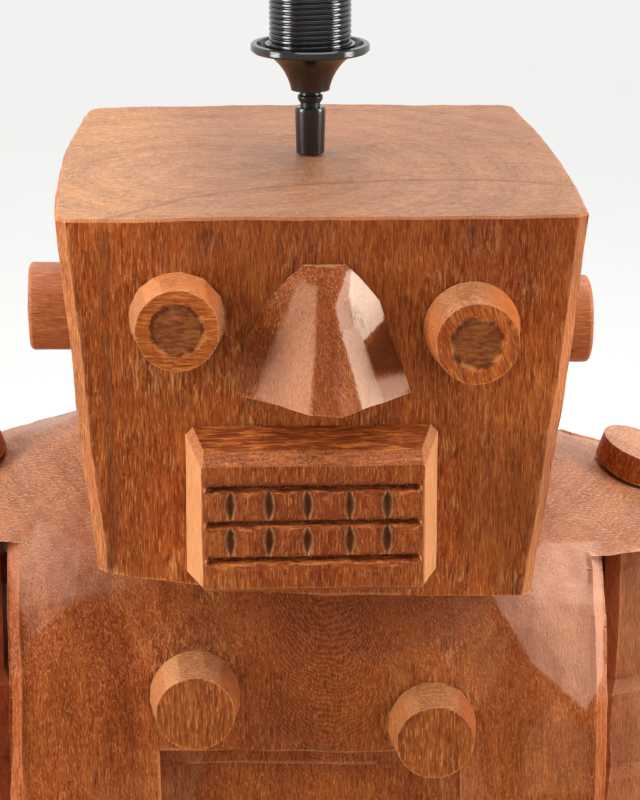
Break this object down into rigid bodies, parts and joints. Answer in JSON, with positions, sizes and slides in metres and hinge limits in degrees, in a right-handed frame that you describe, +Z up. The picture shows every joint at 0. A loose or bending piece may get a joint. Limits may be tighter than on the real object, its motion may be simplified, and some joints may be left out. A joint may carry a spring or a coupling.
{
  "type": "table lamp base",
  "caption": "Block robot carved in wood that stands on a plinth and carries a threaded screw lamp holder with a shade ring on its head.",
  "frame": {"origin": "on the floor, in the underside of the plinth's felt, straight below the lamp tube", "axes": "+Z up along the lamp tube, the robot faces -Y, +X to the right as seen from the front"},
  "size_m": [0.3907, 0.2925, 0.6608],
  "materials": {
    "carved_wood": "waxed satin, hand carved, vertical grain",
    "dowel_wood": "plain beech dowel",
    "holder_black": "glossy black moulded lamp holder",
    "stem_black": "glossy black lacquer on turned metal",
    "zinc_steel": "zinc plated",
    "brass": "plain drawn brass",
    "porcelain": "unglazed white lamp holder ceramic",
    "bush_plastic": "black moulded bush",
    "felt": "dark felt"
  },
  "bodies": {
    "figure": {"arm_dowels": "dowel_wood", "chest_panel": "carved_wood", "contact_spring": "zinc_steel", "cord_bush": "bush_plastic", "head_block": "carved_wood", "holder_cap": "holder_black", "holder_mantle": "holder_black", "insulator_core": "porcelain", "lamp_tube": "zinc_steel", "left_arm": "carved_wood", "left_ear": "carved_wood", "left_eye": "carved_wood", "left_foot": "carved_wood", "left_knob": "carved_wood", "left_leg": "carved_wood", "left_shoulder_stud": "carved_wood", "leg_dowels": "dowel_wood", "lock_screw": "zinc_steel", "mouth": "carved_wood", "neck_dowels": "dowel_wood", "nose": "carved_wood", "plinth": "carved_wood", "plinth_felt": "felt", "plinth_screws": "zinc_steel", "right_arm": "carved_wood", "right_ear": "carved_wood", "right_eye": "carved_wood", "right_foot": "carved_wood", "right_knob": "carved_wood", "right_leg": "carved_wood", "right_shoulder_stud": "carved_wood", "screw_shell": "brass", "stem_bead": "stem_black", "stem_sleeve": "stem_black", "terminal_screws": "brass", "torso_block": "carved_wood", "tube_nut": "zinc_steel", "tube_washer": "zinc_steel"},
    "shade_ring": {"shade_ring": "holder_black"},
    "centre_contact": {"centre_contact": "brass"}
  },
  "joints": [
    {"name": "shade_ring_travel", "type": "slide", "parent": "figure", "child": "shade_ring", "axis": [0, 0, 1], "range_m": [0, 0.044]},
    {"name": "centre_contact_press", "type": "slide", "parent": "figure", "child": "centre_contact", "axis": [0, 0, -1], "range_m": [0, 0.002], "stiffness_N_per_m": 2500, "springref_m": -0.002, "deforming": ["contact_spring"]}
  ]
}
